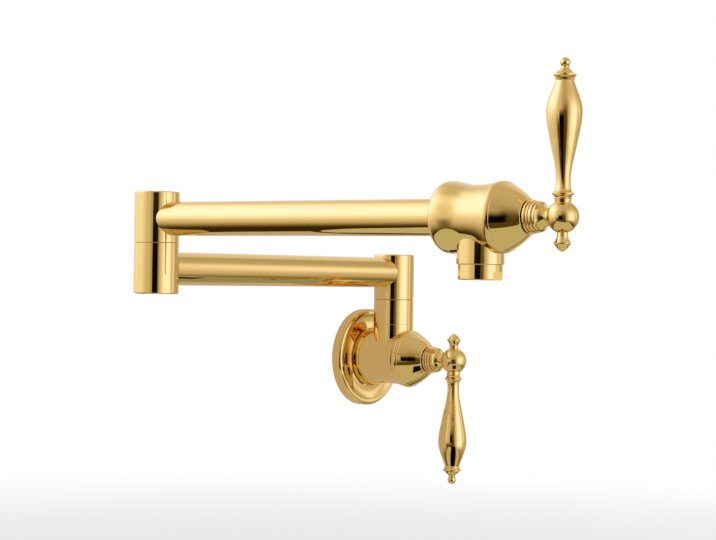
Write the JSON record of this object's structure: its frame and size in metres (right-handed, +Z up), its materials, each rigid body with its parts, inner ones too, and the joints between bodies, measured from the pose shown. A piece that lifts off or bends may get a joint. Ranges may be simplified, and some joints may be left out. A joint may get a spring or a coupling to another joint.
{
  "type": "wall mounted pot filler",
  "caption": "Folding wall tap for filling pots: round flange, lever valve, two swivelling tube arms and a second lever valve with an aerated outlet.",
  "frame": {"origin": "mouth of the inlet thread, in the wall plane, on the axis of the wall valve", "axes": "+Y points into the wall along the inlet thread, -Y out into the room, +Z up, +X to the right seen from the room"},
  "size_m": [0.3113, 0.3568, 0.2761],
  "materials": {
    "polished_gold": "polished gold-coloured PVD on brass",
    "raw_brass": "machined, uncoated",
    "stainless_steel": "plain",
    "lapped_ceramic": "lapped alumina",
    "seal_rubber": "black nitrile",
    "slip_ring_plastic": "PTFE",
    "insert_plastic": "moulded acetal"
  },
  "bodies": {
    "wall_mounting": {"wall_flange": "polished_gold", "flange_gasket": "seal_rubber", "wall_valve_body": "polished_gold", "riser_sleeve": "polished_gold", "riser_post": "raw_brass", "riser_post_seals": "seal_rubber", "riser_post_clip": "stainless_steel", "riser_swivel_washer": "slip_ring_plastic", "wall_cartridge_housing": "raw_brass", "wall_fixed_disc": "lapped_ceramic", "wall_cartridge_seal": "seal_rubber", "wall_bonnet": "polished_gold"},
    "wall_lever_set": {"wall_cartridge_stem": "raw_brass", "wall_moving_disc": "lapped_ceramic", "wall_stem_clip": "stainless_steel", "wall_stem_seal": "seal_rubber", "wall_handle_hub": "polished_gold", "wall_lever": "polished_gold", "wall_lever_tail": "polished_gold", "wall_hub_screw": "stainless_steel"},
    "lower_arm": {"riser_head": "polished_gold", "riser_head_cap": "polished_gold", "lower_tube": "polished_gold", "elbow_lower_half": "polished_gold", "elbow_bottom_cap": "polished_gold", "elbow_swivel_washer": "slip_ring_plastic"},
    "upper_arm": {"elbow_upper_half": "polished_gold", "elbow_top_cap": "polished_gold", "elbow_post": "raw_brass", "elbow_post_seals": "seal_rubber", "elbow_post_clip": "stainless_steel", "upper_tube": "polished_gold", "spout_valve_body": "polished_gold", "aerator_housing": "polished_gold", "aerator_washer": "seal_rubber", "aerator_insert": "insert_plastic", "spout_cartridge_housing": "raw_brass", "spout_fixed_disc": "lapped_ceramic", "spout_cartridge_seal": "seal_rubber", "spout_bonnet": "polished_gold"},
    "spout_lever_set": {"spout_cartridge_stem": "raw_brass", "spout_moving_disc": "lapped_ceramic", "spout_stem_clip": "stainless_steel", "spout_stem_seal": "seal_rubber", "spout_handle_hub": "polished_gold", "spout_lever": "polished_gold", "spout_lever_tail": "polished_gold", "spout_hub_screw": "stainless_steel"}
  },
  "joints": [
    {"name": "wall_swivel", "type": "hinge", "parent": "wall_mounting", "child": "lower_arm", "pos_m": [0, -0.0295, 0.0436], "axis": [0, 0, 1], "range_deg": [0, 180]},
    {"name": "elbow_swivel", "type": "hinge", "parent": "lower_arm", "child": "upper_arm", "pos_m": [-0.254, -0.0295, 0.0805], "axis": [0, 0, 1], "range_deg": [-262, 82]},
    {"name": "wall_valve_turn", "type": "hinge", "parent": "wall_mounting", "child": "wall_lever_set", "pos_m": [0, -0.0295, 0], "axis": [0, 1, 0], "range_deg": [0, 90]},
    {"name": "spout_valve_turn", "type": "hinge", "parent": "upper_arm", "child": "spout_lever_set", "pos_m": [-0.254, -0.29, 0.0963], "axis": [0, 1, 0], "range_deg": [0, 90]}
  ]
}
